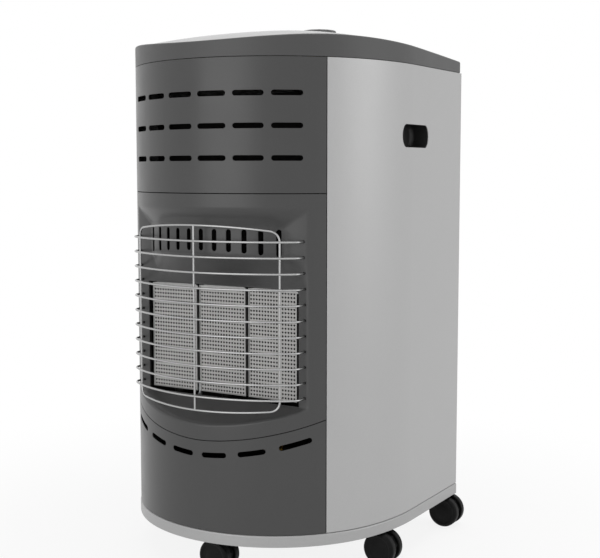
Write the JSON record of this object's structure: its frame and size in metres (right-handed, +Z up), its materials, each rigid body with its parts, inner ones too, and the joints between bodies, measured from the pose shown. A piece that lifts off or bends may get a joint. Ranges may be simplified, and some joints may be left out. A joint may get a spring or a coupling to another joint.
{
  "type": "portable gas cabinet heater",
  "caption": "Portable gas heater in a round-fronted steel cabinet: ceramic burner plaques behind a wire guard, domed lid with a control knob, hinged rear door, twin-wheel castors.",
  "frame": {"origin": "on the floor under the middle of the bounding box's width and depth", "axes": "+Z up, the burner and guard face -Y, +X to the right seen from the front"},
  "size_m": [0.4422, 0.4201, 0.7379],
  "materials": {
    "graphite_paint": "satin dark grey powder coat",
    "silver_paint": "satin silver-grey paint",
    "tray_paint": "satin light grey paint",
    "rim_plastic": "fine-grained dark grey moulding",
    "lid_paint": "satin light silver-grey paint",
    "chrome": "bright plated wire",
    "ceramic": "unglazed cordierite burner plaque",
    "aluminised_steel": "mill-finish aluminised sheet",
    "zinc_steel": "dull zinc plate",
    "brass": "plain machined brass",
    "black_plastic": "moulded black nylon",
    "black_tread": "black moulded wheel",
    "grey_plastic": "moulded grey knob"
  },
  "bodies": {
    "cabinet": {"base_tray": "tray_paint", "side_panel_left": "silver_paint", "side_panel_right": "silver_paint", "upper_front_panel": "graphite_paint", "burner_surround": "graphite_paint", "lower_front_panel": "graphite_paint", "wire_guard": "chrome", "burner_carrier": "aluminised_steel", "gas_manifold": "brass", "supply_pipe": "aluminised_steel", "pilot_assembly": "zinc_steel", "heat_shield": "aluminised_steel", "top_rail": "zinc_steel", "gas_valve": "brass", "lid_rim": "rim_plastic", "top_panel": "lid_paint", "grip_cup_left": "black_plastic", "grip_cup_right": "black_plastic", "hinge_bracket_lower": "zinc_steel", "hinge_bracket_upper": "zinc_steel", "door_magnet": "black_plastic", "burner_head_1": "aluminised_steel", "ceramic_plaque_1": "ceramic", "burner_head_2": "aluminised_steel", "ceramic_plaque_2": "ceramic", "burner_head_3": "aluminised_steel", "ceramic_plaque_3": "ceramic", "castor_front_stem": "zinc_steel", "castor_side_right_stem": "zinc_steel", "castor_side_left_stem": "zinc_steel", "castor_rear_right_stem": "zinc_steel", "castor_rear_left_stem": "zinc_steel"},
    "door": {"rear_door": "silver_paint"},
    "spindle": {"valve_spindle": "zinc_steel"},
    "knob": {"control_knob": "grey_plastic"},
    "castor_front": {"castor_front_housing": "black_plastic"},
    "wheel_front_front": {"castor_front_wheel_front": "black_tread"},
    "wheel_front_rear": {"castor_front_wheel_rear": "black_tread"},
    "castor_side_right": {"castor_side_right_housing": "black_plastic"},
    "wheel_side_right_front": {"castor_side_right_wheel_front": "black_tread"},
    "wheel_side_right_rear": {"castor_side_right_wheel_rear": "black_tread"},
    "castor_side_left": {"castor_side_left_housing": "black_plastic"},
    "wheel_side_left_front": {"castor_side_left_wheel_front": "black_tread"},
    "wheel_side_left_rear": {"castor_side_left_wheel_rear": "black_tread"},
    "castor_rear_right": {"castor_rear_right_housing": "black_plastic"},
    "wheel_rear_right_front": {"castor_rear_right_wheel_front": "black_tread"},
    "wheel_rear_right_rear": {"castor_rear_right_wheel_rear": "black_tread"},
    "castor_rear_left": {"castor_rear_left_housing": "black_plastic"},
    "wheel_rear_left_front": {"castor_rear_left_wheel_front": "black_tread"},
    "wheel_rear_left_rear": {"castor_rear_left_wheel_rear": "black_tread"}
  },
  "joints": [
    {"name": "door_swing", "type": "hinge", "parent": "cabinet", "child": "door", "pos_m": [-0.1968, 0.19096, 0.36791], "axis": [0, 0, 1], "range_deg": [0, 110]},
    {"name": "knob_press", "type": "slide", "parent": "cabinet", "child": "spindle", "axis": [0, 0, -1], "range_m": [0, 0.004], "stiffness_N_per_m": 1500, "springref_m": -0.003},
    {"name": "knob_turn", "type": "hinge", "parent": "spindle", "child": "knob", "pos_m": [0.075, -0.00941, 0.73701], "axis": [0, 0, 1], "range_deg": [0, 180]},
    {"name": "castor_front_swivel", "type": "hinge", "parent": "cabinet", "child": "castor_front", "pos_m": [0, -0.17041, 0.04791], "axis": [0, 0, 1], "continuous": true},
    {"name": "wheel_front_front_roll", "type": "hinge", "parent": "castor_front", "child": "wheel_front_front", "pos_m": [0.013, -0.17041, 0.02311], "axis": [0, 1, 0], "continuous": true},
    {"name": "wheel_front_rear_roll", "type": "hinge", "parent": "castor_front", "child": "wheel_front_rear", "pos_m": [0.013, -0.17041, 0.02311], "axis": [0, 1, 0], "continuous": true},
    {"name": "castor_side_right_swivel", "type": "hinge", "parent": "cabinet", "child": "castor_side_right", "pos_m": [0.1778, -0.02891, 0.04791], "axis": [0, 0, 1], "continuous": true},
    {"name": "wheel_side_right_front_roll", "type": "hinge", "parent": "castor_side_right", "child": "wheel_side_right_front", "pos_m": [0.1908, -0.02891, 0.02311], "axis": [0, 1, 0], "continuous": true},
    {"name": "wheel_side_right_rear_roll", "type": "hinge", "parent": "castor_side_right", "child": "wheel_side_right_rear", "pos_m": [0.1908, -0.02891, 0.02311], "axis": [0, 1, 0], "continuous": true},
    {"name": "castor_side_left_swivel", "type": "hinge", "parent": "cabinet", "child": "castor_side_left", "pos_m": [-0.1778, -0.02891, 0.04791], "axis": [0, 0, 1], "continuous": true},
    {"name": "wheel_side_left_front_roll", "type": "hinge", "parent": "castor_side_left", "child": "wheel_side_left_front", "pos_m": [-0.1908, -0.02891, 0.02311], "axis": [0, 1, 0], "continuous": true},
    {"name": "wheel_side_left_rear_roll", "type": "hinge", "parent": "castor_side_left", "child": "wheel_side_left_rear", "pos_m": [-0.1908, -0.02891, 0.02311], "axis": [0, 1, 0], "continuous": true},
    {"name": "castor_rear_right_swivel", "type": "hinge", "parent": "cabinet", "child": "castor_rear_right", "pos_m": [0.1844, 0.17366, 0.04791], "axis": [0, 0, 1], "continuous": true},
    {"name": "wheel_rear_right_front_roll", "type": "hinge", "parent": "castor_rear_right", "child": "wheel_rear_right_front", "pos_m": [0.1974, 0.17366, 0.02311], "axis": [0, 1, 0], "continuous": true},
    {"name": "wheel_rear_right_rear_roll", "type": "hinge", "parent": "castor_rear_right", "child": "wheel_rear_right_rear", "pos_m": [0.1974, 0.17366, 0.02311], "axis": [0, 1, 0], "continuous": true},
    {"name": "castor_rear_left_swivel", "type": "hinge", "parent": "cabinet", "child": "castor_rear_left", "pos_m": [-0.1844, 0.17366, 0.04791], "axis": [0, 0, 1], "continuous": true},
    {"name": "wheel_rear_left_front_roll", "type": "hinge", "parent": "castor_rear_left", "child": "wheel_rear_left_front", "pos_m": [-0.1974, 0.17366, 0.02311], "axis": [0, 1, 0], "continuous": true},
    {"name": "wheel_rear_left_rear_roll", "type": "hinge", "parent": "castor_rear_left", "child": "wheel_rear_left_rear", "pos_m": [-0.1974, 0.17366, 0.02311], "axis": [0, 1, 0], "continuous": true}
  ]
}
